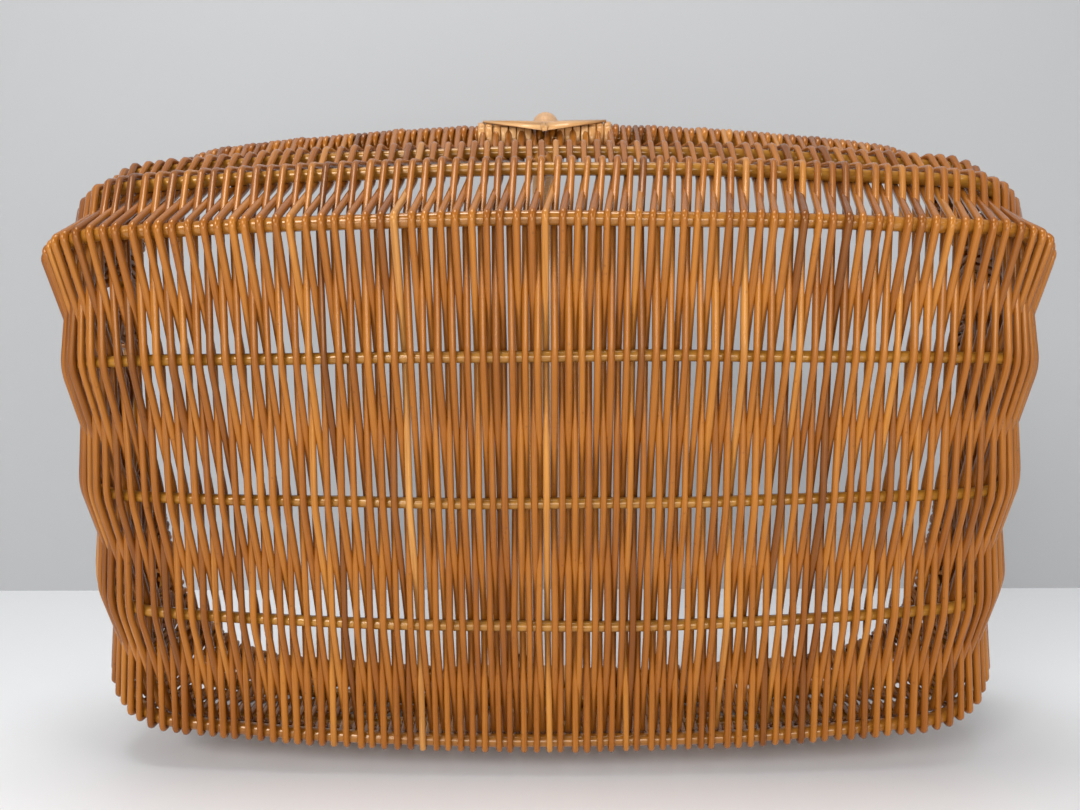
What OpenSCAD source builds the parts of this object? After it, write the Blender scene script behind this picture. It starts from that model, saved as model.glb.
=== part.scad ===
// Gathering basket: a shallow willow frame basket with a wound bow handle.
// It lies on one long side, as when its underside is shown: the base faces -Y,
// the mouth and the handle point to +Y, and +Z is up.
// Each piece is drawn standing, with x along the basket, y across it and z up
// from the base, and lay() then puts it down on its side.

/* [Rim] */
// Length of the rim between the centre lines of its short sides
rim_length = 508; // [470:1:580]
// Thickness of the rim rod
rim_d = 8; // [6:0.5:10]
// Radius of the slight bow of the rim's long sides
rim_side_r = 1500; // [1200:50:3000]
// Radius of the slight bow of the rim's short sides
rim_end_r = 900; // [700:50:1500]
// Radius of the rim's corners
rim_corner_r = 80; // [65:1:95]

/* [Base and walls] */
// Width of the base between the centre lines of its edge ribs
base_width = 274; // [240:1:310]
// How much longer the rim is than the base, at each end
end_flare = 11; // [4:1:20]
// How far the middle of the base bows outwards
base_crown = 10; // [6:0.5:14]
// Distance from rib to rib up a long wall
side_rib_step = 37; // [32:1:44]
// Lean of the long walls next to the base, from upright
corner_lean = 35; // [28:1:42]
// Lean of the long walls above their first rib, from upright
wall_lean = 13; // [8:1:18]

/* [Ribs] */
// Thickness of the three ribs across the base
base_rib_d = 5.4; // [4:0.2:6]
// Thickness of the two ribs along the edges of the base
edge_rib_d = 6.4; // [5:0.2:7]
// Thickness of the ribs up the long walls
side_rib_d = 6; // [4.6:0.2:6.6]
// Distance from the centre rib to its neighbour on the upper side
upper_rib_offset = 74; // [60:1:80]
// Distance from the centre rib to its neighbour on the lower side
lower_rib_offset = 68; // [60:1:80]
// Radius at which the ribs turn up into the end walls
rib_bend_r = 45; // [36:1:52]
// Distance between the ends of neighbouring ribs, along the rim
rib_end_step = 31; // [27:1:34]

/* [Weave] */
// Thickness of the woven wall
weave_t = 2; // [1.8:0.1:2.8]
// Height of the ridge along each band of weavers, half of it each way
weave_relief = 1.6; // [0.6:0.1:2]
// Number of bands of weavers that go over and under the ribs of the base
bands = 24; // [12:1:24]
// Width of the slit between two bands, where one goes over a rib and the next goes under it
slit_w = 3; // [1.5:0.1:5]
// Half of the stretch of the base that is woven in bands
band_reach = 200; // [170:1:210]
// Part of the way from rib to rib that a slit reaches to each side of a rib
slit_share = 0.3; // [0.2:0.01:0.36]

/* [Handle] */
// Thickness of the handle's rod
bow_d = 15; // [13:0.5:18]
// Height above the rim at which the handle starts to curve over
bow_leg = 50; // [30:1:60]
// How far the flattened ends of the rod reach down inside the walls
tongue_l = 62; // [30:1:66]
// How far the rod's centre line is inside the line of the wall
bow_inset = 6; // [5:0.1:6.5]
// Turn of the handle out of square with the basket
bow_skew = 3; // [0:0.5:4]
// Shift of the handle along the basket
bow_shift = -10; // [-20:1:20]
// Thickness of the cane wound round the rod
cane_t = 1.7; // [1.2:0.1:2.2]
// Number of cane bands on the rod
cane_bands = 22; // [16:1:36]

/* [Lashings] */
// Height of each lashing on the handle, above the rim
lash_l = 26; // [22:1:28]
// Reach of the lashing along the rim, to each side of the handle
lash_reach = 37; // [30:1:44]
// How far the lashing's lower half reaches down the wall
lash_drop = 20; // [14:1:24]
// Number of strips in each quarter of a lashing
lash_strips = 3; // [2:1:5]
// Width of a lashing strip
strip_w = 4.4; // [2.5:0.1:5]
// Thickness of a lashing strip
strip_t = 1.2; // [0.9:0.1:1.6]

/* [Fit] */
// Clearance between pieces that touch
fit = 0.3; // [0.2:0.05:0.5]

/* [Hidden] */

// Longest straight steps along the bows of the ribs and the rim, and round the bends of both
rib_step = 55;
rim_step = 50;
bend_step = 20;
shoulder = 2;
DEG = 180 / PI;
willow = "#a8662c";
dark_willow = "#8a4f20";
cane = "#c8965a";

// Points of the long wall's profile, as [distance from the middle, height]
edge_at = [base_width / 2, 0];
side1_at = edge_at + side_rib_step * [sin(corner_lean), cos(corner_lean)];
side2_at = side1_at + side_rib_step * [sin(wall_lean), cos(wall_lean)];
rim_at_side = side2_at + side_rib_step * [sin(wall_lean), cos(wall_lean)];
rim_b = rim_at_side[0];
rim_a = rim_length / 2;
depth = rim_at_side[1];

// The rim is a ring of arcs: a side arc, a corner arc and an end arc in each quarter
side_c = [0, rim_b - rim_side_r];
end_c = [rim_a - rim_end_r, 0];
between = norm(end_c - side_c);
along = (pow(rim_side_r - rim_corner_r, 2) - pow(rim_end_r - rim_corner_r, 2) + between * between)
        / (2 * between);
off_line = sqrt(pow(rim_side_r - rim_corner_r, 2) - along * along);
to_end = (end_c - side_c) / between;
corner_c = side_c + along * to_end + off_line * [to_end[1], -to_end[0]];
side_turn = atan2(corner_c[0] - side_c[0], corner_c[1] - side_c[1]);
end_turn = atan2(corner_c[1] - end_c[1], corner_c[0] - end_c[0]);
side_l = rim_side_r * side_turn / DEG;
corner_l = rim_corner_r * (90 - side_turn - end_turn) / DEG;
end_l = rim_end_r * end_turn / DEG;
quarter_l = side_l + corner_l + end_l;

// Point of the rim at a distance s along it from the middle of a long side, in the first quarter
function rim_point(s) =
    s < side_l ? side_c + rim_side_r * [sin(s / rim_side_r * DEG), cos(s / rim_side_r * DEG)]
    : s < side_l + corner_l
    ? let (a = side_turn + (s - side_l) / rim_corner_r * DEG) corner_c + rim_corner_r * [sin(a), cos(a)]
    : end_c + rim_end_r * [cos((quarter_l - s) / rim_end_r * DEG), sin((quarter_l - s) / rim_end_r * DEG)];

// The same on either long side, for s to either side of its middle
function rim_at(side, s) = let (p = rim_point(abs(s))) [sign(s) * p[0], side * p[1], depth];

// A rib lies in a plane of its own: a slight bow along the basket, a bend, and a straight end up to the rim.
// It is given as [side, distance from the middle, height, place of its end among the ribs, thickness, bend]
bow_r = pow(rim_a - end_flare - rib_bend_r, 2) / (2 * base_crown);
short_bend_r = rib_bend_r * 0.6;
ribs = [
    [-1, side2_at[0], side2_at[1], 4, side_rib_d, short_bend_r],
    [-1, side1_at[0], side1_at[1], 3, side_rib_d, rib_bend_r],
    [-1, edge_at[0], -base_crown, 2, edge_rib_d, rib_bend_r],
    [-1, upper_rib_offset, -base_crown, 1, base_rib_d, rib_bend_r],
    [1, 0, -base_crown, 0, base_rib_d, rib_bend_r],
    [1, lower_rib_offset, -base_crown, 1, base_rib_d, rib_bend_r],
    [1, edge_at[0], -base_crown, 2, edge_rib_d, rib_bend_r],
    [1, side1_at[0], side1_at[1], 3, side_rib_d, rib_bend_r],
    [1, side2_at[0], side2_at[1], 4, side_rib_d, short_bend_r],
];

function rib_end(rib) = rim_point(quarter_l - rib_end_step * rib[3]);
function rib_rise(rib) = norm([rib_end(rib)[1] - rib[1], depth - rib[2]]);
function rib_tilt(rib) = atan2(rib_end(rib)[1] - rib[1], depth - rib[2]);
function end_slope(rib) = 90 - atan2(end_flare, depth + base_crown);
// Angle of the bow at which the rib's end comes out on the rim, found by repetition
function bow_angle(rib, tries = 5, a = 5) =
    tries == 0 ? a : bow_angle(rib, tries - 1, asin((rib_end(rib)[0] - rib[5] * (sin(end_slope(rib)) - sin(a))
        - (rib_rise(rib) - bow_r * (1 - cos(a)) - rib[5] * (cos(a) - cos(end_slope(rib))))
        / tan(end_slope(rib))) / bow_r));
function bow_end(rib) = bow_r * [sin(bow_angle(rib)), 1 - cos(bow_angle(rib))];
function bend_end(rib) = bow_end(rib) + rib[5]
    * [sin(end_slope(rib)) - sin(bow_angle(rib)), cos(bow_angle(rib)) - cos(end_slope(rib))];
function bow_l(rib) = bow_r * bow_angle(rib) / DEG;
function bend_l(rib) = rib[5] * (end_slope(rib) - bow_angle(rib)) / DEG;
function straight_l(rib) = (rib_rise(rib) - bend_end(rib)[1]) / sin(end_slope(rib));
function rib_l(rib) = bow_l(rib) + bend_l(rib) + straight_l(rib);

// Point in the rib's plane at a distance s along it from its middle, for s from 0 up
function rib_flat(rib, s) =
    s < bow_l(rib) ? bow_r * [sin(s / bow_r * DEG), 1 - cos(s / bow_r * DEG)]
    : s < bow_l(rib) + bend_l(rib)
    ? let (a = bow_angle(rib) + (s - bow_l(rib)) / rib[5] * DEG)
        bow_end(rib) + rib[5] * [sin(a) - sin(bow_angle(rib)), cos(bow_angle(rib)) - cos(a)]
    : bend_end(rib) + (s - bow_l(rib) - bend_l(rib)) * [cos(end_slope(rib)), sin(end_slope(rib))];
function rib_point(rib, s) =
    let (p = rib_flat(rib, abs(s)), t = rib_tilt(rib))
        [sign(s) * p[0], rib[0] * (rib[1] + p[1] * sin(t)), rib[2] + p[1] * cos(t)];

// The weavers turn over the rim in flat steps, clear of the round rod
hook_turn = 65;
ridge = weave_relief / 2;
rim_ridge = ridge * 0.4;
hook_r = (rim_d / 2 + fit) / cos(hook_turn / 2) + weave_t / 2 + rim_ridge;
hook_out = hook_r + rim_ridge + weave_t / 2;
function weave_out(rib_d) = rib_d / 2 + fit + weave_t / 2 + ridge;
function wall_out(rib_d) = weave_out(rib_d) + ridge + weave_t / 2;

// Reach of the outside of a lashing from the centre of the rim, and of its inside
lash_in = hook_out + fit;
lash_out = lash_in + strip_t;

// The basket lies on the lashing at the rim and on the first side rib of one long wall
lean = wall_lean + asin((lash_out - wall_out(side_rib_d)) / (2 * side_rib_step));
rest_z = rim_b * cos(lean) - depth * sin(lean) + lash_out;

// The handle stands in the line of the long walls and then curves over in one arc
bow_up = [sin(wall_lean), cos(wall_lean)];
bow_foot = [rim_b / cos(bow_skew) - bow_inset * cos(wall_lean), depth + bow_inset * sin(wall_lean)];
bow_top = bow_foot + bow_leg * bow_up;
bow_arc_r = bow_top[0] / cos(wall_lean);
bow_c = bow_top[1] + bow_arc_r * sin(wall_lean);

// Half of the reach from the front of the leaning base to the back of the handle
front_y = -edge_at[0] * sin(lean) - (base_crown + wall_out(edge_rib_d)) * cos(lean);
back_y = bow_c * cos(lean) + bow_arc_r + bow_d / 2 + cane_t;
rest_y = -(front_y + back_y) / 2;

module lay() {
    translate([0, rest_y, rest_z])
        rotate([lean - 90, 0, 0])
            children();
}

// A round section with some number of sides, as points round the rod's centre line
function round_section(d, sides) =
    [for (i = [0:sides - 1]) d / 2 * [cos(i * 360 / sides), sin(i * 360 / sides)]];
function unit(v) = v / norm(v);
function heading(path, i, closed) =
    let (n = len(path), last = closed ? path[(i + n - 1) % n] : path[max(i - 1, 0)],
        next = closed ? path[(i + 1) % n] : path[min(i + 1, n - 1)])
        unit(next - last);

// A rod along a flat path: square_to is the direction square to the path's plane, and sections
// has one section for the whole rod or one for each point of the path
module rod(path, square_to, sections, closed = false) {
    n = len(path);
    m = len(sections[0]);
    points = [for (i = [0:n - 1])
        let (out = cross(square_to, heading(path, i, closed)), s = sections[i % len(sections)])
            each [for (p = s) path[i] + p[0] * out + p[1] * square_to]];
    skin = [for (i = [0:closed ? n - 1 : n - 2], j = [0:m - 1])
        let (k = (j + 1) % m, p = i * m, p2 = ((i + 1) % n) * m)
            each [[p + j, p2 + j, p2 + k], [p + j, p2 + k, p + k]]];
    caps = closed ? [] : [[for (j = [0:m - 1]) j], [for (j = [m - 1:-1:0]) (n - 1) * m + j]];
    polyhedron(points, concat(skin, caps), convexity = 6);
}

// Stations from a to b, both kept, in equal steps of at most some length
function steps(a, b, step) = let (n = max(1, ceil((b - a) / step))) [for (i = [0:n]) a + (b - a) * i / n];

// How far short of the rim's centre line a rib is cut off: more where it comes up at a slant
function end_cut(rib) =
    let (place = quarter_l - rib_end_step * rib[3], along_rim = unit(rim_point(place) - rim_point(place - 1)),
        up = unit(rib_point(rib, rib_l(rib)) - rib_point(rib, rib_l(rib) - 1)),
        slant = asin(abs(along_rim[0] * up[0] + rib[0] * along_rim[1] * up[1])))
        (rim_d / 2 + fit) / cos(slant) + rib[4] / 2 * tan(slant);
function rib_stations(rib) =
    let (bend = bow_l(rib) + bend_l(rib),
        turn = [for (s = steps(bow_l(rib), bend, bend_step)) if (s > bow_l(rib)) s],
        half = concat(steps(0, bow_l(rib), rib_step), turn, [rib_l(rib) - end_cut(rib)]))
        concat([for (i = [len(half) - 1:-1:1]) -half[i]], half);

module rim_hoop() {
    corner = [for (s = steps(side_l, side_l + corner_l, bend_step)) if (s > side_l) s];
    quarter = concat(steps(0, side_l, rim_step), corner, [quarter_l]);
    first = [for (s = quarter) rim_point(s)];
    count = len(first);
    half = concat([for (i = [count - 1:-1:1]) [-first[i][0], first[i][1]]], first);
    ring = concat(half, [for (i = [len(half) - 2:-1:1]) [half[i][0], -half[i][1]]]);
    color(dark_willow)
        lay()
            rod([for (p = ring) [p[0], p[1], depth]], [0, 0, 1], [round_section(rim_d, 8)], closed = true);
}

module rib_rod(rib) {
    square_to = [0, rib[0] * cos(rib_tilt(rib)), -sin(rib_tilt(rib))];
    rod([for (s = rib_stations(rib)) rib_point(rib, s)], square_to, [round_section(rib[4], 6)]);
}

// Lines of the weave's grid: the two rims are 0 and 10 and the ribs are 1 to 9 in between, and those of
// the base, with its edges, are 3 to 7. A row is [line, turn over the rim], and a part of a line is that
// part of the way to the next
last_line = 10;
base_lines = [3:7];
function is_base(i) = i >= 3 && i <= 7;
function is_edge(i) = i == 3 || i == 7;
rows = concat([[0, 2 * hook_turn], [0, hook_turn], [0, 0], [1, 0], [2, 0]],
    [for (i = base_lines, part = [-slit_share, 0, slit_share]) [i + part, 0]],
    [[8, 0], [9, 0], [last_line, 0], [last_line, hook_turn], [last_line, 2 * hook_turn]]);

// Columns: an edge, a ridge and an edge for each band, and single ones round the ends of the basket
end_columns = 4;
end_margin = 12;
band_step = 2 * band_reach / bands;
band_w = band_step - slit_w;
even_l = band_reach * 0.9;
ends_at = band_reach + slit_w / 2;
full_l = rib_l(ribs[4]) - end_margin;
end_step = (full_l - ends_at) / end_columns;
stations = concat([for (i = [end_columns:-1:0]) -ends_at - i * end_step],
    [for (k = [0:bands - 1], x = [0, band_w / 2, band_w]) slit_w / 2 + k * band_step + x - band_reach],
    [for (i = [0:end_columns]) ends_at + i * end_step]);

// The band that a column belongs to, or -1 for a column round the ends
function band_of(c) = let (k = floor((c - end_columns - 1) / 3)) k < 0 || k >= bands ? -1 : k;
function is_ridge(c) = band_of(c) >= 0 && (c - end_columns - 1) % 3 == 1;
// Every second band goes under each rib of the base, and the rest of the weave stays outside the ribs
function is_under(c, i) = is_base(i) && band_of(c) >= 0 && (band_of(c) + i) % 2 == 0;

// Distance along a line of length l for a station: even in the middle, closer towards the corners
function line_s(l, station) =
    abs(station) <= even_l ? station
    : let (t = (abs(station) - even_l) / (full_l - even_l), m = (full_l - even_l) / (l - even_l))
        sign(station) * (even_l + (l - even_l) * (1 - pow(max(0, 1 - t), m)));
function rim_line(side, station) = rim_at(side, line_s(quarter_l - rib_end_step * 4 - end_margin, station));
lines = [for (station = stations) concat([rim_line(-1, station)],
    [for (rib = ribs) rib_point(rib, line_s(rib_l(rib) - end_margin, station))], [rim_line(1, station)])];

function grid_point(c, u) =
    let (i = min(floor(u), last_line - 1)) lines[c][i] + (u - i) * (lines[c][i + 1] - lines[c][i]);
function grid_along(c, u) =
    unit(grid_point(min(c + 1, len(stations) - 1), u) - grid_point(max(c - 1, 0), u));
function grid_out(c, u) =
    unit(cross(grid_point(c, min(u + 0.5, last_line)) - grid_point(c, max(u - 0.5, 0)), grid_along(c, u)));

// How far the middle of the weave is outside a line: over or under the rod at a rib, and level with the
// rods between them. Over an edge rib it stays out to both sides, to clear the rod where it bends
line_d = [for (u = [0:last_line]) u == 0 || u == last_line ? rim_d : ribs[u - 1][4]];
function rib_lift(c, u) =
    let (i = round(u), out = weave_out(line_d[i]))
        is_under(c, i) ? (u == i ? -out : 0)
        : u == i || is_edge(i) ? out : 0;

// Round the ends the flat steps between the columns need more room outside the bent rods
function end_room(c) = band_of(c) >= 0 ? 0 : end_step * end_step / (8 * rib_bend_r);
function crest(c) = is_ridge(c) ? 1 : band_of(c) >= 0 ? -1 : 0;
function grid_lift(c, u) = end_room(c) + rib_lift(c, u) + ridge * crest(c);
function rim_lift(c) = hook_r + end_room(c) / 2 + rim_ridge * crest(c);

// A point of the weave and the direction out of it
function weave_point(c, row) =
    let (u = row[0], p = grid_point(c, u), out = grid_out(c, u))
        u > 0 && u < last_line ? [p + grid_lift(c, u) * out, out]
        : let (up = (u == 0 ? -1 : 1) * cross(grid_along(c, u), out),
            turned = cos(row[1]) * out + sin(row[1]) * up)
            [p + rim_lift(c) * turned, turned];

// The sheet is open between two columns at a rib where only one of them goes under it
nr = len(rows);
nc = len(stations);
function open_in(r, c) =
    let (u = rows[r][0], v = rows[r + 1][0], i = round((u + v) / 2))
        (u == i || v == i) && is_under(c, i) != is_under(c + 1, i);
function solid_in(r, c) = r >= 0 && c >= 0 && r < nr - 1 && c < nc - 1 && !open_in(r, c);

// The woven wall: one sheet in bands that go over and under the ribs of the base, turned over the rim
module woven_wall() {
    weave = [for (row = rows, c = [0:nc - 1]) weave_point(c, row)];
    outside = [for (w = weave) w[0] + weave_t / 2 * w[1]];
    inside = [for (w = weave) w[0] - weave_t / 2 * w[1]];
    in = nr * nc;
    function edge(p, q) = [[p, q, q + in], [p, q + in, p + in]];
    faces = [for (r = [0:nr - 2], c = [0:nc - 2]) if (solid_in(r, c))
        let (p = r * nc + c, q = p + 1, p2 = p + nc, q2 = q + nc)
            each concat([[p, q, q2], [p, q2, p2]], [[p + in, q2 + in, q + in], [p + in, p2 + in, q2 + in]],
                solid_in(r - 1, c) ? [] : edge(q, p), solid_in(r + 1, c) ? [] : edge(p2, q2),
                solid_in(r, c - 1) ? [] : edge(p, p2), solid_in(r, c + 1) ? [] : edge(q2, q))];
    color(willow)
        lay()
            polyhedron(concat(outside, inside), faces, convexity = 12);
}

// The handle's line in its own plane: up one leg, over an arc of straight steps and down the other leg.
// Places on it are distances along it from the rim
leg_start = lash_in;
arc_half = 90 + wall_lean;
arc_steps = 17;
arc_step_l = 2 * bow_arc_r * sin(arc_half / arc_steps);
arc_end = bow_leg + arc_steps * arc_step_l;
function leg_point(side, v) = [0, side * (bow_foot[0] + v * bow_up[0]), bow_foot[1] + v * bow_up[1]];
function arc_point(i) =
    let (a = arc_half * (1 - 2 * i / arc_steps))
        [0, bow_arc_r * sin(a), bow_c + bow_arc_r * cos(a)];
function bow_at(s) =
    let (f = (s - bow_leg) / arc_step_l, i = min(floor(f), arc_steps - 1))
        s <= bow_leg ? leg_point(1, s)
        : s >= arc_end ? leg_point(-1, arc_end + bow_leg - s)
        : arc_point(i) + (f - i) * (arc_point(i + 1) - arc_point(i));
bow_bends = [for (i = [0:arc_steps]) bow_leg + i * arc_step_l];
module in_bow_plane() {
    lay()
        translate([bow_shift, 0, 0])
            rotate([0, 0, bow_skew])
                children();
}

// The ends are cut flat on the outside so that they go down inside the rim and the weave on it
tongue_cut = lash_in + bow_d / 2 * sin(bow_skew) - bow_inset;
tongue_half_w = sqrt(bow_d * bow_d / 4 - tongue_cut * tongue_cut);
function flat_section(section) =
    [for (p = section) [max(p[0], tongue_cut), max(min(p[1], tongue_half_w), -tongue_half_w)]];

module handle_bow() {
    full = round_section(bow_d, 10);
    flat = flat_section(full);
    start = [-tongue_l, leg_start, leg_start + shoulder];
    finish = [for (i = [2:-1:0]) arc_end + bow_leg - start[i]];
    path = [for (s = concat(start, bow_bends, finish)) bow_at(s)];
    color(dark_willow)
        in_bow_plane()
            rod(path, [1, 0, 0], concat([flat, flat, full], [for (s = bow_bends) full], [full, flat, flat]));
}

// The winding is a sleeve of cane bands, each band a ridge, from one lashing to the other
winding_gap = 1;
module handle_winding() {
    start = lash_l + winding_gap;
    finish = arc_end + bow_leg - start;
    sides = 8;
    inner_d = (bow_d + 2 * fit) / cos(180 / sides);
    groove = round_section(inner_d + cane_t, sides);
    ridge = round_section(inner_d + 2 * cane_t, sides);
    half_band = (finish - start) / cane_bands / 2;
    color(cane)
        in_bow_plane()
            difference() {
                rod([for (i = [0:2 * cane_bands]) bow_at(start + i * half_band)], [1, 0, 0],
                    [for (i = [0:2 * cane_bands]) i % 2 == 0 ? groove : ridge]);
                rod([for (s = concat([start - 1], bow_bends, [finish + 1])) bow_at(s)], [1, 0, 0],
                    [round_section(inner_d, sides)]);
            }
}

// Where an end of the handle crosses the rim, as a distance along the rim from its middle
function foot_s(side) = asin((bow_shift - side * rim_b * tan(bow_skew)) / rim_side_r) * rim_side_r / DEG;

// Puts what is drawn with the rim along x, outwards along y and up the wall along z at a place on the rim
module on_rim(side, s) {
    scale([1, side, 1])
        translate([0, side_c[1], depth])
            rotate([0, 0, -s / rim_side_r * DEG])
                translate([0, rim_side_r, 0])
                    rotate([-wall_lean, 0, 0])
                        children();
}

// Section of a lashing's arm: from the outside of the wall over the weave on the rim
function arm_section(t) =
    let (turns = [0, hook_turn, 2 * hook_turn], over = [for (a = turns) [cos(a), sin(a)]],
        outer = concat([[lash_in + t, -strip_w / 2]], (lash_in + t) * over),
        inner = concat([for (i = [2:-1:0]) lash_in * over[i]], [[lash_in, -strip_w / 2]]), w = wall_lean)
        [for (p = concat(outer, inner)) [p[0] * cos(w) + p[1] * sin(w), p[1] * cos(w) - p[0] * sin(w)]];

// One arm: flat strips side by side round the rim, each with a groove to its neighbour
arm_start = bow_d / 2 + strip_t;
module arm(side, way) {
    step = (lash_reach - arm_start) / lash_strips;
    groove = strip_t / 2;
    grooves = [for (i = [1:lash_strips - 1], x = [-groove, 0, groove]) arm_start + i * step + x];
    ends = concat([arm_start], grooves, [lash_reach]);
    order = side * way > 0 ? [0:len(ends) - 1] : [len(ends) - 1:-1:0];
    path = [for (i = order) rim_at(side, foot_s(side) + way * ends[i])];
    sections = [for (i = order) arm_section(i % 3 == 2 ? strip_t * 0.4 : strip_t)];
    rod(path, [0, 0, 1], sections);
}

// One flat strip, from inside an arm to a place over the handle's foot. Its ends are cut straight
strip_end_l = strip_w * 1.4;
strip_end_w = 1;
module strip(side, from, to, to_t) {
    hull() {
        on_rim(side, foot_s(side) + from)
            translate([0, lash_in + strip_t / 2, 0])
                cube([strip_end_l, to_t * 0.6, strip_end_w], center = true);
        on_rim(side, foot_s(side))
            translate(to)
                cube([strip_end_l * 0.9, to_t, strip_end_w], center = true);
    }
}

// A lashing: two arms on the rim, a collar on the handle, and strips that lie outside them as diamonds
module lashing(side) {
    collar_d = (bow_d + 2 * fit) / cos(180 / 10);
    collar_start = leg_start + shoulder + fit;
    collar_l = lash_l - collar_start;
    rod_face = collar_d / 2 - bow_inset + strip_t;
    wall_slope = (hook_out - wall_out(side_rib_d)) / (2 * side_rib_step);
    tip_t = strip_t * 0.6;
    root_shift = 3;
    step = (lash_reach - arm_start) / lash_strips;
    arm(side, 1);
    arm(side, -1);
    on_rim(side, foot_s(side))
        translate([0, -bow_inset, collar_start])
            linear_extrude(collar_l)
                difference() {
                    circle(d = collar_d + 2 * strip_t, $fn = 10);
                    circle(d = collar_d, $fn = 10);
                }
    for (way = [-1, 1], i = [0:lash_strips - 1]) {
        from = way * (arm_start + (i + 0.5) * step);
        share = (i + 1) / lash_strips;
        past = way * strip_w * 0.75;
        up = collar_start + strip_w / 4 + (collar_l - strip_w / 2) * share;
        down = -lash_drop * share;
        strip(side, from, [past, rod_face, up], strip_t);
        strip(side, from - way * root_shift, [past, lash_in + wall_slope * down + tip_t / 2, down], tip_t);
    }
}

module lashing_upper() {
    color(cane)
        lay()
            lashing(-1);
}

module lashing_lower() {
    color(cane)
        lay()
            lashing(1);
}

module rib_side_upper_2() { color(willow) lay() rib_rod(ribs[0]); }
module rib_side_upper_1() { color(willow) lay() rib_rod(ribs[1]); }
module rib_edge_upper() { color(dark_willow) lay() rib_rod(ribs[2]); }
module rib_upper() { color(willow) lay() rib_rod(ribs[3]); }
module rib_centre() { color(willow) lay() rib_rod(ribs[4]); }
module rib_lower() { color(willow) lay() rib_rod(ribs[5]); }
module rib_edge_lower() { color(dark_willow) lay() rib_rod(ribs[6]); }
module rib_side_lower_1() { color(willow) lay() rib_rod(ribs[7]); }
module rib_side_lower_2() { color(willow) lay() rib_rod(ribs[8]); }

rim_hoop();
rib_centre();
rib_upper();
rib_lower();
rib_edge_upper();
rib_edge_lower();
rib_side_upper_1();
rib_side_upper_2();
rib_side_lower_1();
rib_side_lower_2();
woven_wall();
handle_bow();
handle_winding();
lashing_upper();
lashing_lower();
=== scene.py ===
"""Looks of the gathering basket: every willow weaver, rib and cane strand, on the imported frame."""
import math
import random

import bpy
import numpy as np
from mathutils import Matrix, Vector


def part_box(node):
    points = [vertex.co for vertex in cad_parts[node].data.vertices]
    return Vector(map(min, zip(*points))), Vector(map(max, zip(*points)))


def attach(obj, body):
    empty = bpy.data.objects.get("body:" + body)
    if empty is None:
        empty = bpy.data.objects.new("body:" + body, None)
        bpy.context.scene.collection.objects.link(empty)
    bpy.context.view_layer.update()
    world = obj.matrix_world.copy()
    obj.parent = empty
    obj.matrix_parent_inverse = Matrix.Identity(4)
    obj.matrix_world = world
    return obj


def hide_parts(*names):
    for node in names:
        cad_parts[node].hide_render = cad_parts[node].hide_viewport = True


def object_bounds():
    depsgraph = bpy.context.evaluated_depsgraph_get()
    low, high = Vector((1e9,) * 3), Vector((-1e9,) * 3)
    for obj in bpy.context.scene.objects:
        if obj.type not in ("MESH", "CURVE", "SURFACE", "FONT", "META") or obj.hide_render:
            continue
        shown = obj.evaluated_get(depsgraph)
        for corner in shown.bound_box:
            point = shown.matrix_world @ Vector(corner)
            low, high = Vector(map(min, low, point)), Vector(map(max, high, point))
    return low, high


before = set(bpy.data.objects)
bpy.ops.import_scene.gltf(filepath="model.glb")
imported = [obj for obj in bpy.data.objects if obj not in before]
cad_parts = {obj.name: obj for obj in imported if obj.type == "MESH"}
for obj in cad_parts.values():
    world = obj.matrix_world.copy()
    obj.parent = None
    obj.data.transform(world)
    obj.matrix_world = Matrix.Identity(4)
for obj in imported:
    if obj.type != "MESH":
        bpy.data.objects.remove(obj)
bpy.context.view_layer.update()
random.seed(11)
MM = 0.001

# Driving dimensions in mm and degrees, as in the part's source
RIM_HALF_LENGTH = 254.0
RIM_D = 8.0
RIM_SIDE_R = 1500.0
RIM_END_R = 900.0
RIM_CORNER_R = 80.0
BASE_HALF_WIDTH = 137.0
END_FLARE = 11.0
BASE_CROWN = 10.0
SIDE_RIB_STEP = 37.0
CORNER_LEAN = math.radians(35)
WALL_LEAN = math.radians(13)
LEAN = math.radians(14.811)
BASE_RIB_D = 5.4
EDGE_RIB_D = 6.4
SIDE_RIB_D = 6.0
UPPER_RIB = 74.0
LOWER_RIB = 68.0
BEND_R = 45.0
RIB_END_STEP = 31.0
BOW_D = 15.0
BOW_LEG = 50.0
TONGUE = 62.0
BOW_INSET = 6.0
BOW_SKEW = math.radians(3)
BOW_SHIFT = -10.0
LASH_L = 26.0
LASH_REACH = 37.0
LASH_DROP = 20.0

# The weave: each weaver goes over the rim and comes back as its neighbour
WEAVER_D = 3.55
WEAVER_STEP = 3.36
WEAVER_SIDES = 9
# How grown twigs differ: part of the thickness, tone, and wandering along the ribs and the rim in mm
WIDTH_SPREAD = 0.1
TONE_MEAN = 0.48
TONE_SPREAD = 0.2
DRIFT = 0.25
RIB_WANDER = 0.35
RIM_WANDER = 0.15
# Turns round the rim: the angles between which a weaver goes, its first step aside, and the points
FRONT_TURN = (math.pi, math.pi / 2, 0.25, 6)
BACK_TURN = (0.0, 2.5 * math.pi, -0.3, 22)
TURN_CLEAR = 0.1


def wall_points():
    """The long wall's profile: distance from the middle and height of its two ribs and of the rim."""
    y = BASE_HALF_WIDTH + SIDE_RIB_STEP * math.sin(CORNER_LEAN)
    z = SIDE_RIB_STEP * math.cos(CORNER_LEAN)
    up = np.array([math.sin(WALL_LEAN), math.cos(WALL_LEAN)]) * SIDE_RIB_STEP
    first = np.array([y, z])
    return first, first + up, first + 2 * up


SIDE_1, SIDE_2, RIM_AT_SIDE = wall_points()
RIM_B, DEPTH = RIM_AT_SIDE


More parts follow.
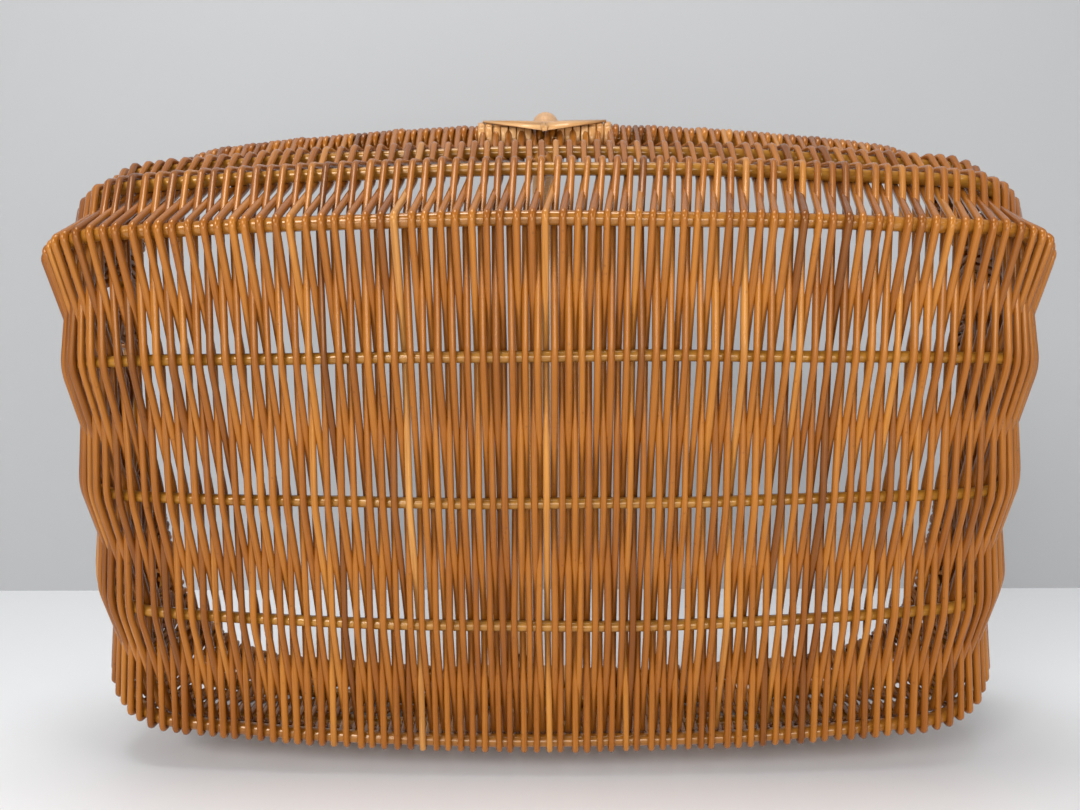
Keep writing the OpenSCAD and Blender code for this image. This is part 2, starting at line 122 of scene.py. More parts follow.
class Rim:
    """The rim's centre line: a side arc, a corner arc and an end arc in each quarter."""

    def __init__(self):
        self.side_c = np.array([0.0, RIM_B - RIM_SIDE_R])
        self.end_c = np.array([RIM_HALF_LENGTH - RIM_END_R, 0.0])
        between = np.linalg.norm(self.end_c - self.side_c)
        inner_side = RIM_SIDE_R - RIM_CORNER_R
        inner_end = RIM_END_R - RIM_CORNER_R
        along = (inner_side ** 2 - inner_end ** 2 + between ** 2) / (2 * between)
        off = math.sqrt(inner_side ** 2 - along ** 2)
        to_end = (self.end_c - self.side_c) / between
        self.corner_c = self.side_c + along * to_end + off * np.array([to_end[1], -to_end[0]])
        side = self.corner_c - self.side_c
        end = self.corner_c - self.end_c
        self.side_turn = math.atan2(side[0], side[1])
        self.end_turn = math.atan2(end[1], end[0])
        self.side_l = RIM_SIDE_R * self.side_turn
        self.corner_l = RIM_CORNER_R * (math.pi / 2 - self.side_turn - self.end_turn)
        self.quarter = self.side_l + self.corner_l + RIM_END_R * self.end_turn

    def point(self, s):
        """Point at a distance s from the middle of the long side, in the first quarter."""
        if s < self.side_l:
            a = s / RIM_SIDE_R
            return self.side_c + RIM_SIDE_R * np.array([math.sin(a), math.cos(a)])
        if s < self.side_l + self.corner_l:
            a = self.side_turn + (s - self.side_l) / RIM_CORNER_R
            return self.corner_c + RIM_CORNER_R * np.array([math.sin(a), math.cos(a)])
        a = (self.quarter - s) / RIM_END_R
        return self.end_c + RIM_END_R * np.array([math.cos(a), math.sin(a)])

    def at(self, side, s):
        """Point in space on one long side, for s to either side of its middle."""
        x, y = self.point(abs(s))
        return np.array([math.copysign(x, s), side * y, DEPTH])


RIM = Rim()


class Rib:
    """A lengthwise rib: a slight bow, a bend and a straight end up to the rim, in one plane."""

    bow_r = (RIM_HALF_LENGTH - END_FLARE - BEND_R) ** 2 / (2 * BASE_CROWN)
    slope = math.pi / 2 - math.atan2(END_FLARE, DEPTH + BASE_CROWN)

    def __init__(self, side, y, z, place, d, bend_r):
        self.side, self.y, self.z, self.d, self.bend_r = side, y, z, d, bend_r
        end_x, end_y = RIM.point(RIM.quarter - RIB_END_STEP * place)
        rise = math.hypot(end_y - y, DEPTH - z)
        self.tilt = math.atan2(end_y - y, DEPTH - z)
        a = math.radians(5)
        for _ in range(5):
            up = rise - self.bow_r * (1 - math.cos(a)) - bend_r * (math.cos(a) - math.cos(self.slope))
            out = bend_r * (math.sin(self.slope) - math.sin(a))
            a = math.asin((end_x - out - up / math.tan(self.slope)) / self.bow_r)
        self.bow_end = self.bow_r * np.array([math.sin(a), 1 - math.cos(a)])
        self.bow_a = a
        self.bow_l = self.bow_r * a
        turn = np.array([math.sin(self.slope) - math.sin(a), math.cos(a) - math.cos(self.slope)])
        self.bend_end = self.bow_end + bend_r * turn
        self.bend_l = bend_r * (self.slope - a)
        self.length = self.bow_l + self.bend_l + (rise - self.bend_end[1]) / math.sin(self.slope)

    def at(self, s):
        """Point in space at a distance s along the rib from its middle."""
        t = abs(s)
        if t < self.bow_l:
            x, up = self.bow_r * math.sin(t / self.bow_r), self.bow_r * (1 - math.cos(t / self.bow_r))
        elif t < self.bow_l + self.bend_l:
            a = self.bow_a + (t - self.bow_l) / self.bend_r
            x = self.bow_end[0] + self.bend_r * (math.sin(a) - math.sin(self.bow_a))
            up = self.bow_end[1] + self.bend_r * (math.cos(self.bow_a) - math.cos(a))
        else:
            rest = t - self.bow_l - self.bend_l
            x = self.bend_end[0] + rest * math.cos(self.slope)
            up = self.bend_end[1] + rest * math.sin(self.slope)
        y = self.side * (self.y + up * math.sin(self.tilt))
        return np.array([math.copysign(x, s), y, self.z + up * math.cos(self.tilt)])


RIBS = {
    "rib_side_upper_2": Rib(-1, SIDE_2[0], SIDE_2[1], 4, SIDE_RIB_D, BEND_R * 0.6),
    "rib_side_upper_1": Rib(-1, SIDE_1[0], SIDE_1[1], 3, SIDE_RIB_D, BEND_R),
    "rib_edge_upper": Rib(-1, BASE_HALF_WIDTH, -BASE_CROWN, 2, EDGE_RIB_D, BEND_R),
    "rib_upper": Rib(-1, UPPER_RIB, -BASE_CROWN, 1, BASE_RIB_D, BEND_R),
    "rib_centre": Rib(1, 0, -BASE_CROWN, 0, BASE_RIB_D, BEND_R),
    "rib_lower": Rib(1, LOWER_RIB, -BASE_CROWN, 1, BASE_RIB_D, BEND_R),
    "rib_edge_lower": Rib(1, BASE_HALF_WIDTH, -BASE_CROWN, 2, EDGE_RIB_D, BEND_R),
    "rib_side_lower_1": Rib(1, SIDE_1[0], SIDE_1[1], 3, SIDE_RIB_D, BEND_R),
    "rib_side_lower_2": Rib(1, SIDE_2[0], SIDE_2[1], 4, SIDE_RIB_D, BEND_R * 0.6),
}
RIB_LIST = list(RIBS.values())
LAST_LINE = len(RIB_LIST) + 1


def find_rest():
    """Where the standing basket's origin goes when it lies down, from the rim's box in the frame."""
    low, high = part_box("rim_hoop")
    reach = RIM_D / 2 * math.cos(LEAN)
    y = high[1] / MM - reach - RIM_B * math.sin(LEAN) - DEPTH * math.cos(LEAN)
    z = low[2] / MM + reach + RIM_B * math.cos(LEAN) - DEPTH * math.sin(LEAN)
    return y, z


REST_Y, REST_Z = find_rest()


def lay(p):
    """A point of the standing basket, in mm, to its place in the frame, in m."""
    y = p[1] * math.sin(LEAN) + p[2] * math.cos(LEAN) + REST_Y
    z = -p[1] * math.cos(LEAN) + p[2] * math.sin(LEAN) + REST_Z
    return (p[0] * MM, y * MM, z * MM)


def unit(v):
    return v / np.linalg.norm(v)


class Mesh:
    """Collects swept rods and makes one object of them, with a tone and a place along for each point."""

    def __init__(self, name):
        self.name = name
        self.points, self.faces, self.tones, self.uvs = [], [], [], []

    def sweep(self, path, section, tone=0.5, square=None):
        """Sweeps a section (points across the path, or a function of the place) along a path."""
        path = [np.asarray(p, float) for p in path]
        count = len(path)
        first = len(self.points)
        heading = [unit(path[min(i + 1, count - 1)] - path[max(i - 1, 0)]) for i in range(count)]
        side = None
        length = 0.0
        for i, p in enumerate(path):
            if square is not None:
                side = square[i] if isinstance(square, list) else square
            elif side is None:
                side = np.array([0.3, 0.2, 0.9])
            side = unit(side - heading[i] * np.dot(side, heading[i]))
            up = np.cross(heading[i], side)
            ring = section(i / (count - 1)) if callable(section) else section
            length += 0 if i == 0 else np.linalg.norm(p - path[i - 1])
            for j, (a, b) in enumerate(ring):
                self.points.append(lay(p + a * side + b * up))
                self.tones.append(tone)
                self.uvs.append((j / len(ring), length * 0.01))
        n = len(ring)
        for i in range(count - 1):
            for j in range(n):
                a, b = first + i * n + j, first + i * n + (j + 1) % n
                self.faces.append((a, b, b + n, a + n))
        self.faces.append(tuple(first + j for j in range(n - 1, -1, -1)))
        self.faces.append(tuple(first + (count - 1) * n + j for j in range(n)))

    def make(self, material, replaces=()):
        data = bpy.data.meshes.new(self.name)
        data.from_pydata(self.points, [], self.faces)
        data.polygons.foreach_set("use_smooth", [True] * len(data.polygons))
        tone = data.attributes.new("tone", "FLOAT", "POINT")
        tone.data.foreach_set("value", self.tones)
        layer = data.uv_layers.new(name="grain")
        order = np.zeros(len(data.loops), dtype=np.int64)
        data.loops.foreach_get("vertex_index", order)
        uvs = np.array(self.uvs)[order]
        layer.data.foreach_set("uv", uvs.ravel())
        data.update()
        obj = bpy.data.objects.new(self.name, data)
        bpy.context.collection.objects.link(obj)
        data.materials.append(material)
        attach(obj, "root")
        if replaces:
            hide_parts(*replaces)
        return obj


def circle(d, sides):
    turns = [math.tau * i / sides for i in range(sides)]
    return [(d / 2 * math.cos(a), d / 2 * math.sin(a)) for a in turns]


# Lines of the weave: 0 and the last are the rim's two long sides, and the ribs lie in between
def line_at(line, s):
    if line == 0 or line == LAST_LINE:
        return RIM.at(-1 if line == 0 else 1, s)
    return RIB_LIST[line - 1].at(s)


def line_length(line):
    return RIM.quarter if line in (0, LAST_LINE) else RIB_LIST[line - 1].length


def line_d(line):
    return RIM_D if line in (0, LAST_LINE) else RIB_LIST[line - 1].d


def out_at(line, s):
    """Direction out of the basket, square to a line of the weave and to the wall across it."""
    near = [n for n in (line - 1, line + 1) if 0 <= n <= LAST_LINE and line_length(n) >= abs(s)]
    across = line_at(max(near + [line]), s) - line_at(min(near + [line]), s)
    if not near:
        across = np.array([0.0, 0.0, -1.0 if line == 0 else 1.0])
    along = line_at(line, s + 1) - line_at(line, s - 1)
    return unit(np.cross(across, along))


def rounded(points, cuts):
    """A polyline with its corners rounded off, starting at each cut's distance from the corner."""
    path = [points[0]]
    for i in range(1, len(points) - 1):
        before, here, after = points[i - 1], points[i], points[i + 1]
        a, b = here - before, after - here
        cut = min(cuts[i], np.linalg.norm(a) * 0.45, np.linalg.norm(b) * 0.45)
        a, b = here - cut * unit(a), here + cut * unit(b)
        for t in (0.0, 0.2, 0.4, 0.6, 0.8, 1.0):
            path.append((1 - t) ** 2 * a + 2 * t * (1 - t) * here + t * t * b)
    path.append(points[-1])
    return path


# Where a weaver starts to bend before it crosses a rod: early over the flat base, late over the walls
BASE_CUT = 6.5
WALL_CUT = 3.2
# How far the weavers lean along the rim on their way up the upper wall, by line
FRONT_SLANT = {2: 5.0, 1: 5.0, 0: 5.0}
BACK_SLANT = {2: 2.0, 1: 4.0, 0: 5.0}
# How much further apart the weavers are on the walls than on the base, by line
SPREAD = {0: 0.05, 1: 0.05, 2: 0.045, 8: 0.04, 9: 0.05, 10: 0.05}
SPREAD_REACH = 200.0


class Weaver:
    """One pass of a weaver from rim to rim: over and under the ribs by turns."""

    def __init__(self, number):
        self.s = number * WEAVER_STEP
        self.front = number % 2 == 0
        self.d = WEAVER_D * random.uniform(1 - WIDTH_SPREAD, 1 + WIDTH_SPREAD)
        self.tone = min(1.0, max(0.0, random.gauss(TONE_MEAN, TONE_SPREAD)))
        self.lines = [n for n in range(1, LAST_LINE) if line_length(n) > abs(self.along(n)) + RIM_D]
        self.drift = random.gauss(0, DRIFT)

    def outside(self, line):
        """Whether this weaver passes outside a line: front ones pass inside the rim and even lines."""
        return (line % 2 == 1) == self.front

    def along(self, line):
        """Distance along a line at which the weaver should cross it."""
        slant = (FRONT_SLANT if self.front else BACK_SLANT).get(line, 0.0)
        spread = SPREAD.get(line, 0.0) * max(-SPREAD_REACH, min(SPREAD_REACH, self.s))
        return self.s + slant + spread

    def place(self, line):
        """Distance along a line at which the weaver crosses it, with a little wandering."""
        if line in (0, LAST_LINE):
            return self.along(line) + random.gauss(0, RIM_WANDER)
        return self.along(line) + self.drift + random.gauss(0, RIB_WANDER)

    def crossing(self, line, s, corner):
        away = line_d(line) / 2 + self.d / 2 + corner
        return line_at(line, s) + out_at(line, s) * away * (1 if self.outside(line) else -1)

    def turn(self, line, s):
        """Points of the turns round the rim: a front weaver goes up inside it to its top, where its
        neighbour, which has gone up outside and once round the rim, goes on from it."""
        side = -1 if line == 0 else 1
        along = unit(RIM.at(side, s + 1) - RIM.at(side, s - 1))
        out = out_at(line, s)
        up = np.cross(along, out) * side
        r = RIM_D / 2 + self.d / 2 + TURN_CLEAR
        start, end, first, count = FRONT_TURN if self.front else BACK_TURN
        onward = WEAVER_STEP * (1 if (line == 0) != self.front else -1)
        points = []
        for i in range(count):
            a = start + (end - start) * i / (count - 1)
            shift = onward * (first + abs(a - start) / math.tau * (-1 if self.front else 1))
            points.append(RIM.at(side, s + shift) + r * (math.cos(a) * out + math.sin(a) * up))
        return points

    def path(self):
        places = [self.place(n) for n in self.lines]
        corners = [self.crossing(n, s, 0.0) for n, s in zip(self.lines, places)]
        first = self.turn(0, self.place(0))
        last = self.turn(LAST_LINE, self.place(LAST_LINE))
        points = [first[0]] + corners + [last[0]]
        cuts = [0.0] + [BASE_CUT if 4 <= n <= 6 else WALL_CUT for n in self.lines] + [0.0]
        for i in range(1, len(points) - 1):
            turn = unit(points[i + 1] - points[i]) - unit(points[i] - points[i - 1])
            lift = cuts[i] * np.linalg.norm(turn) / 4
            corners[i - 1] = self.crossing(self.lines[i - 1], places[i - 1], lift)
        points = [first[0]] + corners + [last[0]]
        body = rounded(points, cuts)
        return first[:0:-1] + body + last[1:]


def tapered(d, sides):
    """Width of a willow shoot, thicker at one end than at the other, with slight swellings."""
    slope = random.uniform(-0.09, 0.09)
    wave = random.uniform(4, 9)
    phase = random.uniform(0, math.tau)

    def section(t):
        return circle(d * (1 + slope * (2 * t - 1) + 0.03 * math.sin(wave * math.tau * t + phase)), sides)
    return section


def make_weavers(material):
    """All weavers, in pieces of one stretch of the basket each."""
    reach = int((RIBS["rib_centre"].length - RIM_D) / WEAVER_STEP)
    numbers = list(range(-reach, reach + 1))
    third = len(numbers) // 3 + 1
    for part, name in enumerate(("weavers_left", "weavers_middle", "weavers_right")):
        mesh = Mesh(name)
        for number in numbers[part * third:(part + 1) * third]:
            weaver = Weaver(number)
            mesh.sweep(weaver.path(), tapered(weaver.d, WEAVER_SIDES), weaver.tone)
        mesh.make(material, ("woven_wall",) if part == 0 else ())


def uneven(path, amount, length):
    """Lets a rod wander a little from its line, as a grown rod does."""
    phase = [random.uniform(0, math.tau) for _ in range(6)]
    result = []
    for i, p in enumerate(path):
        t = i / (len(path) - 1) * length
        sway = [sum(math.sin(t / w + phase[axis * 2 + k]) for k, w in enumerate((37.0, 19.0)))
                for axis in range(3)]
        result.append(p + amount * np.array(sway) / 2)
    return result


def rod_width(d, knots):
    """Width of a grown rod, with slight swellings at its knots."""
    swell = [(random.random(), random.uniform(0.02, 0.07)) for _ in range(knots)]

    def section(t):
        wide = 1 + sum(h * math.exp(-((t - at) / 0.008) ** 2) for at, h in swell)
        return circle(d * wide, 14)
    return section


# How much thicker than its solid a rib's rod is, with its bark
BARK = 1.08
ROD_WANDER = 0.35
ROD_KNOTS = 7


def make_ribs(material, dark):
    """The nine ribs, each one rod from rim to rim."""
    for name, rib in RIBS.items():
        end = rib.length - RIM_D / 2
        path = [rib.at(end * (i / 60 - 1)) for i in range(121)]
        mesh = Mesh(name + "_rod")
        rod = uneven(path, ROD_WANDER, 2 * end)
        mesh.sweep(rod, rod_width(rib.d * BARK, ROD_KNOTS), random.random())
        edge = name.startswith("rib_edge")
        mesh.make(dark if edge else material, (name,))


def make_rim(material):
    """The rim's one rod, closed round its four quarters."""
    count = 260
    path = []
    for i in range(count + 1):
        s = 4 * RIM.quarter * i / count
        quarter = int(s // RIM.quarter) % 4
        rest = s - RIM.quarter * (s // RIM.quarter)
        x, y = RIM.point(rest if quarter % 2 == 0 else RIM.quarter - rest)
        path.append(np.array([x if quarter in (0, 1) else -x, y if quarter in (0, 3) else -y, DEPTH]))
    mesh = Mesh("rim_rod")
    mesh.sweep(path, circle(RIM_D, 16), 0.4, square=np.array([0.0, 0.0, 1.0]))
    mesh.make(material, ("rim_hoop",))


class Bow:
    """The handle's line: up one leg, over an arc and down the other leg, by distance from the rim."""

    def __init__(self):
        up = np.array([math.sin(WALL_LEAN), math.cos(WALL_LEAN)])
        self.foot = np.array([RIM_B / math.cos(BOW_SKEW) - BOW_INSET * math.cos(WALL_LEAN),
                              DEPTH + BOW_INSET * math.sin(WALL_LEAN)])
        self.up = up
        top = self.foot + BOW_LEG * up
        self.r = top[0] / math.cos(WALL_LEAN)
        self.c = top[1] + self.r * math.sin(WALL_LEAN)
        self.half = math.pi / 2 + WALL_LEAN
        self.arc_l = 2 * self.half * self.r
        self.length = self.arc_l + 2 * BOW_LEG

    def at(self, s):
        if s <= BOW_LEG:
            y, z = self.foot + s * self.up
        elif s >= BOW_LEG + self.arc_l:
            y, z = self.foot + (self.length - s) * self.up
            y = -y
        else:
            a = self.half - (s - BOW_LEG) / self.r
            y, z = self.r * math.sin(a), self.c + self.r * math.cos(a)
        return self.turned(np.array([0.0, y, z])) + np.array([BOW_SHIFT, 0.0, 0.0])

    def turned(self, v):
        c, s = math.cos(BOW_SKEW), math.sin(BOW_SKEW)
        return np.array([v[0] * c - v[1] * s, v[0] * s + v[1] * c, v[2]])


BOW = Bow()
# How far from the rim's middle its turns of weavers reach
HOOK_OUT = RIM_D / 2 + WEAVER_D + 0.5


def make_bow(material):
    """The handle's rod, cut flat on the outside at both ends."""
    cross = BOW.turned(np.array([1.0, 0.0, 0.0]))
    cut = HOOK_OUT + 0.7 - BOW_INSET
    flat_w = math.sqrt(BOW_D ** 2 / 4 - cut ** 2)
    full = circle(BOW_D, 24)
    # The section's second direction points into the bow
    flat = [(max(min(a, flat_w), -flat_w), max(b, cut)) for a, b in full]
    stations = [-TONGUE, -TONGUE * 0.5, HOOK_OUT, HOOK_OUT + 3]
    arc = [BOW_LEG + BOW.arc_l * i / 70 for i in range(71)]
    ends = [BOW.length - s for s in reversed(stations)]
    places = stations + arc + ends
    last = len(places) - 1

    def section(t):
        i = round(t * last)
        return flat if i < 3 or i > last - 3 else full
    mesh = Mesh("handle_rod")
    mesh.sweep([BOW.at(s) for s in places], section, 0.2, square=cross)
    mesh.make(material, ("handle_bow",))


def strip_section(width, thick):
    """A flat cane strip: flat below and slightly rounded above, as points (across, up)."""
    w, t = width / 2, thick / 2
    return [(-w, -t), (w, -t), (w, t * 0.2), (w * 0.55, t), (-w * 0.55, t), (-w, t * 0.2)]


def make_winding(material):
    """One strand of flat cane wound round the handle from lashing to lashing."""
    pitch, thick = 3.7, 1.3
    start, end = LASH_L - 4, BOW.length - LASH_L + 4
    turns = (end - start) / pitch
    steps = int(turns * 18)
    cross = BOW.turned(np.array([1.0, 0.0, 0.0]))
    path, across = [], []
    for i in range(steps + 1):
        s = start + (end - start) * i / steps
        a = math.tau * turns * i / steps
        heading = unit(BOW.at(s + 0.5) - BOW.at(s - 0.5))
        normal = np.cross(cross, heading)
        radial = math.cos(a) * normal + math.sin(a) * cross
        path.append(BOW.at(s) + radial * (BOW_D / 2 + thick / 2))
        across.append(heading)
    mesh = Mesh("handle_cane")
    mesh.sweep(path, strip_section(pitch * 0.98, thick), 0.5, square=across)
    mesh.make(material, ("handle_winding",))


class Foot:
    """Where an end of the handle meets the rim: x along the rim, out of the wall, and up the wall."""

    def __init__(self, side):
        self.side = side
        self.s = RIM_SIDE_R * math.asin((BOW_SHIFT - side * RIM_B * math.tan(BOW_SKEW)) / RIM_SIDE_R)

    def at(self, x, out, up):
        centre = RIM.at(self.side, self.s + x)
        tangent = unit(RIM.at(self.side, self.s + x + 1) - RIM.at(self.side, self.s + x - 1))
        level = np.array([-tangent[1], tangent[0], 0.0]) * self.side
        outward = level * math.cos(WALL_LEAN) - np.array([0.0, 0.0, math.sin(WALL_LEAN)])
        upward = level * math.sin(WALL_LEAN) + np.array([0.0, 0.0, math.cos(WALL_LEAN)])
        return centre + out * outward + up * upward


# How far inside the rim's middle the point lies that a lashing's strips turn their backs to
RIBBON_CORE = 2.0


def ribbon(mesh, foot, points, width, thick, tone):
    """A flat strip through points given in a foot's own directions, turned flat side outwards."""
    places = [np.array(p, float) for p in points]
    fine = rounded(places, [3.0] * len(places)) if len(places) > 2 else places
    path = [foot.at(*p) for p in fine]
    across = []
    for i, p in enumerate(fine):
        heading = fine[min(i + 1, len(fine) - 1)] - fine[max(i - 1, 0)]
        away = np.array([0.0, p[1] + RIBBON_CORE, p[2]])
        side = np.cross(unit(heading), unit(away))
        tip = foot.at(*(p + side))
        across.append(unit(tip - path[i]))
    mesh.sweep(path, strip_section(width, thick), tone, square=across)


def make_lashing(name, side, material):
    """Cane wound over the rim and the handle: wraps on the rim, on the handle, and a diamond over both."""
    foot = Foot(side)
    mesh = Mesh(name + "_cane")
    strips, width, fan_width, thick = 7, 3.9, 3.1, 0.9
    near = BOW_D / 2 + 1.5
    for way in (-1, 1):
        for i in range(strips):
            x = way * (near + (LASH_REACH - near - 2) * i / (strips - 1))
            r = HOOK_OUT + 0.6
            wrap = [(x + random.uniform(-0.2, 0.2), r * math.cos(a), r * math.sin(a))
                    for a in (math.radians(20 * k - 30) for k in range(19))]
            ribbon(mesh, foot, wrap, width, thick, random.random())
    top = LASH_L - 2
    for way in (-1, 1):
        for i in range(strips):
            share = (i + 0.6) / strips
            x = way * (near + (LASH_REACH - near - 2) * share)
            out = HOOK_OUT + 0.9 + 0.1 * i
            face = BOW_D / 2 - BOW_INSET + 1.6
            up = HOOK_OUT + 4 + (top - HOOK_OUT - 4) * share
            down = -LASH_DROP * share
            ribbon(mesh, foot, [(x, out, 0), (-way * 3, face, up)], fan_width, thick, random.random())
            ribbon(mesh, foot, [(x, out, 0), (-way * 1.5, out - 0.6, down)], fan_width, thick,
                   random.random())
    mesh.make(material, (name,))
    collar = Mesh(name + "_collar")
    count = 5
    for i in range(count):
        up = HOOK_OUT + 3 + (LASH_L - HOOK_OUT - 4) * i / (count - 1)
        r = BOW_D / 2 + 0.7
        ring = [foot.at(r * math.sin(math.tau * k / 24), -BOW_INSET + r * math.cos(math.tau * k / 24), up)
                for k in range(25)]
        axis = unit(foot.at(0, 0, 1) - foot.at(0, 0, 0))
        collar.sweep(ring, strip_section(4.0, thick), random.random(), square=axis)
    collar.make(material)


def new_material(name):
    material = bpy.data.materials.new(name)
    material.use_nodes = True
    tree = material.node_tree
    shader = tree.nodes["Principled BSDF"]
    return material, tree, shader


def node(tree, kind, **inputs):
    made = tree.nodes.new(kind)
    for key, value in inputs.items():
        made.inputs[key.replace("_", " ")].default_value = value
    return made


def ramp(tree, source, stops):
    made = tree.nodes.new("ShaderNodeValToRGB")
    elements = made.color_ramp.elements
    while len(elements) < len(stops):
        elements.new(0.5)
    for element, (at, colour) in zip(elements, stops):
        element.position = at
        element.color = (*colour, 1)
    tree.links.new(source, made.inputs["Fac"])
    return made.outputs["Color"]


def mixed(tree, kind, amount, first, second):
    made = tree.nodes.new("ShaderNodeMix")
    made.data_type = "RGBA"
    made.blend_type = kind
    if isinstance(amount, float):
        made.inputs[0].default_value = amount
    else:
        tree.links.new(amount, made.inputs[0])
    tree.links.new(first, made.inputs[6])
    tree.links.new(second, made.inputs[7])
    return made.outputs[2]


def willow(name, stops, streak=0.35, gloss=0.34, coat=0.2, spots=True):
    """Varnished willow: a tone for each rod, streaks along it, darker patches and small knots."""
    material, tree, shader = new_material(name)
    links = tree.links
    tone = tree.nodes.new("ShaderNodeAttribute")
    tone.attribute_name = "tone"
    place = tree.nodes.new("ShaderNodeTexCoord")
    grain_map = node(tree, "ShaderNodeMapping", Scale=(9.0, 2.2, 1.0))
    links.new(place.outputs["UV"], grain_map.inputs["Vector"])
    shift = tree.nodes.new("ShaderNodeVectorMath")
    shift.operation = "ADD"
    links.new(grain_map.outputs["Vector"], shift.inputs[0])
    spread = tree.nodes.new("ShaderNodeMath")
    spread.operation = "MULTIPLY"
    spread.inputs[1].default_value = 97.0
    links.new(tone.outputs["Fac"], spread.inputs[0])
    offset = tree.nodes.new("ShaderNodeCombineXYZ")
    links.new(spread.outputs[0], offset.inputs["Y"])
    links.new(spread.outputs[0], offset.inputs["Z"])
    links.new(offset.outputs[0], shift.inputs[1])
    grain = node(tree, "ShaderNodeTexNoise", Scale=1.0, Detail=5.0, Roughness=0.6)
    links.new(shift.outputs[0], grain.inputs["Vector"])
    patch = node(tree, "ShaderNodeTexNoise", Scale=22.0, Detail=3.0, Roughness=0.55)
    links.new(place.outputs["Object"], patch.inputs["Vector"])
    base = ramp(tree, tone.outputs["Fac"], stops)
    streaks = ramp(tree, grain.outputs["Fac"], [(0.3, (0.55, 0.46, 0.40)), (0.52, (0.92, 0.90, 0.88)),
                                                (0.72, (1.0, 1.0, 1.0))])
    colour = mixed(tree, "MULTIPLY", streak * 2, base, streaks)
    patches = ramp(tree, patch.outputs["Fac"], [(0.35, (0.72, 0.62, 0.55)), (0.6, (1.0, 1.0, 1.0))])
    colour = mixed(tree, "MULTIPLY", 0.55, colour, patches)
    if spots:
        cells = node(tree, "ShaderNodeTexVoronoi", Scale=160.0)
        links.new(place.outputs["Object"], cells.inputs["Vector"])
        knots = ramp(tree, cells.outputs["Distance"], [(0.0, (0.32, 0.22, 0.15)), (0.14, (1.0, 1.0, 1.0))])
        colour = mixed(tree, "MULTIPLY", 0.5, colour, knots)
    links.new(colour, shader.inputs["Base Color"])
    bump = tree.nodes.new("ShaderNodeBump")
    bump.inputs["Strength"].default_value = 0.25
    bump.inputs["Distance"].default_value = 0.0004
    links.new(grain.outputs["Fac"], bump.inputs["Height"])
    links.new(bump.outputs["Normal"], shader.inputs["Normal"])
    shader.inputs["Roughness"].default_value = gloss
    shader.inputs["Coat Weight"].default_value = coat
    shader.inputs["Coat Roughness"].default_value = 0.12
    shader.inputs["Specular IOR Level"].default_value = 0.5
    shader.inputs["Specular Tint"].default_value = (1.0, 0.66, 0.34, 1)
    return material


def make_materials():
    weaver = willow("weaver_willow", [(0.0, (0.17, 0.050, 0.006)), (0.3, (0.29, 0.092, 0.010)),
                                      (0.7, (0.38, 0.135, 0.016)), (0.9, (0.46, 0.185, 0.030)),
                                      (1.0, (0.56, 0.280, 0.080))], gloss=0.27)
    rib = willow("rib_willow", [(0.0, (0.34, 0.15, 0.018)), (1.0, (0.46, 0.22, 0.035))],
                 gloss=0.2, coat=0.5)
    dark = willow("rod_willow", [(0.0, (0.30, 0.115, 0.014)), (1.0, (0.42, 0.175, 0.024))],
                  gloss=0.2, coat=0.6)
    cane = willow("cane", [(0.0, (0.54, 0.27, 0.09)), (1.0, (0.70, 0.42, 0.19))], streak=0.3, gloss=0.3,
                  coat=0.25, spots=False)
    return weaver, rib, dark, cane


def flat_material(name, colour, roughness):
    material, tree, shader = new_material(name)
    shader.inputs["Base Color"].default_value = (*colour, 1)
    shader.inputs["Roughness"].default_value = roughness
    return material


def stage_plane(name, corners, material):
    data = bpy.data.meshes.new(name)
    data.from_pydata(corners, [], [(0, 1, 2, 3)])
    data.materials.append(material)
    obj = bpy.data.objects.new(name, data)
    bpy.context.collection.objects.link(obj)


def lamp(name, place, target, size, power):
    """A white soft lamp that the camera doesn't see."""
    data = bpy.data.lights.new(name, "AREA")
    data.shape = "RECTANGLE"
    data.size, data.size_y = size
    data.energy = power
    obj = bpy.data.objects.new(name, data)
    obj.location = place
    obj.rotation_euler = (Vector(target) - Vector(place)).to_track_quat("-Z", "Y").to_euler()
    obj.visible_camera = False
    bpy.context.collection.objects.link(obj)


# The camera, found from the lines of the ribs in the photograph: its place from the lower edge rib,
# and its turns
CAMERA_BACK = 457.1
CAMERA_UP = 185.9
CAMERA_PITCH = math.radians(1.06)
CAMERA_YAW = math.radians(0.49)
CAMERA_ROLL = math.radians(0.27)
FOCAL_PX = 840.0
IMAGE_WIDTH_PX = 1080


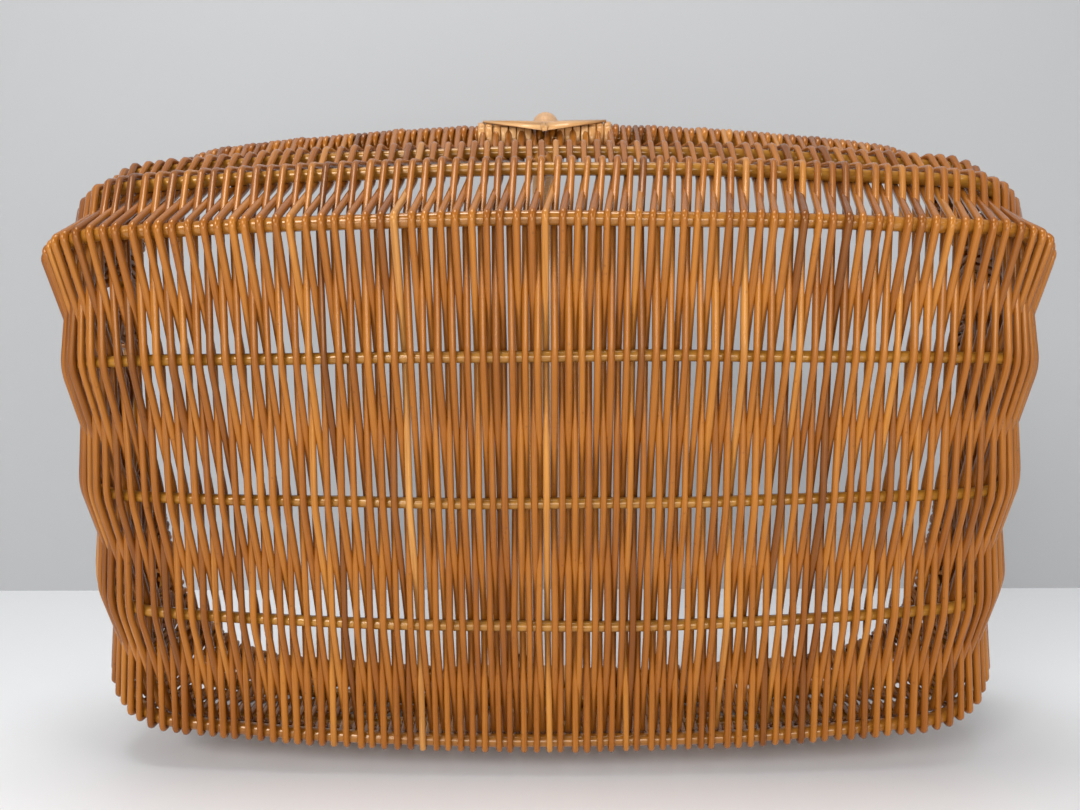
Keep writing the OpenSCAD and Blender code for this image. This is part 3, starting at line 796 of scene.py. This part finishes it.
def make_camera():
    _, edge_y, edge_z = lay((0.0, BASE_HALF_WIDTH, 0.0))
    data = bpy.data.cameras.new("camera")
    data.sensor_width = 36.0
    data.lens = FOCAL_PX / IMAGE_WIDTH_PX * data.sensor_width
    obj = bpy.data.objects.new("camera", data)
    obj.location = (0.0, edge_y - CAMERA_BACK * MM, edge_z + CAMERA_UP * MM)
    obj.rotation_mode = "XYZ"
    obj.rotation_euler = (math.pi / 2 - CAMERA_PITCH, CAMERA_ROLL, CAMERA_YAW)
    bpy.context.collection.objects.link(obj)
    bpy.context.scene.camera = obj


STAGE_HALF = 3
STAGE_FRONT = -2.5
STAGE_TOP = 3
BACKDROP_Y = 0.28


def make_stage():
    """The table, at the lowest point that shows, and the wall behind it."""
    table = flat_material("table", (0.80, 0.81, 0.82), 0.6)
    wall = flat_material("backdrop", (0.42, 0.424, 0.43), 0.9)
    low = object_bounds()[0][2]
    front = [(-STAGE_HALF, STAGE_FRONT, low), (STAGE_HALF, STAGE_FRONT, low)]
    crease = [(-STAGE_HALF, BACKDROP_Y, low), (STAGE_HALF, BACKDROP_Y, low)]
    top = [(-STAGE_HALF, BACKDROP_Y, STAGE_TOP), (STAGE_HALF, BACKDROP_Y, STAGE_TOP)]
    stage_plane("floor", front + crease[::-1], table)
    stage_plane("wall", crease + top[::-1], wall)


def make_lights():
    """A large lamp from the front left, one from above, and fill from the right and from low in front."""
    lamp("key", (-0.7, -1.45, 0.85), (0, 0, 0.14), (0.7, 0.6), 16)
    lamp("top", (-0.1, -0.45, 1.7), (0, -0.1, 0.1), (0.8, 0.5), 14)
    lamp("side", (1.4, -1.0, 0.8), (0, 0, 0.15), (0.8, 0.8), 5)
    lamp("low", (0.1, -1.0, 0.14), (0, 0, 0.06), (0.9, 0.2), 4)
    world = bpy.data.worlds.new("world")
    world.use_nodes = True
    world.node_tree.nodes["Background"].inputs["Color"].default_value = (0.97, 0.98, 1.0, 1)
    world.node_tree.nodes["Background"].inputs["Strength"].default_value = 0.28
    bpy.context.scene.world = world
    bpy.context.scene.view_settings.view_transform = "Standard"


make_camera()
weaver_mat, rib_mat, dark_mat, cane_mat = make_materials()
make_weavers(weaver_mat)
make_ribs(rib_mat, dark_mat)
make_rim(dark_mat)
make_bow(dark_mat)
make_winding(cane_mat)
make_lashing("lashing_upper", -1, cane_mat)
make_lashing("lashing_lower", 1, cane_mat)
make_stage()
make_lights()
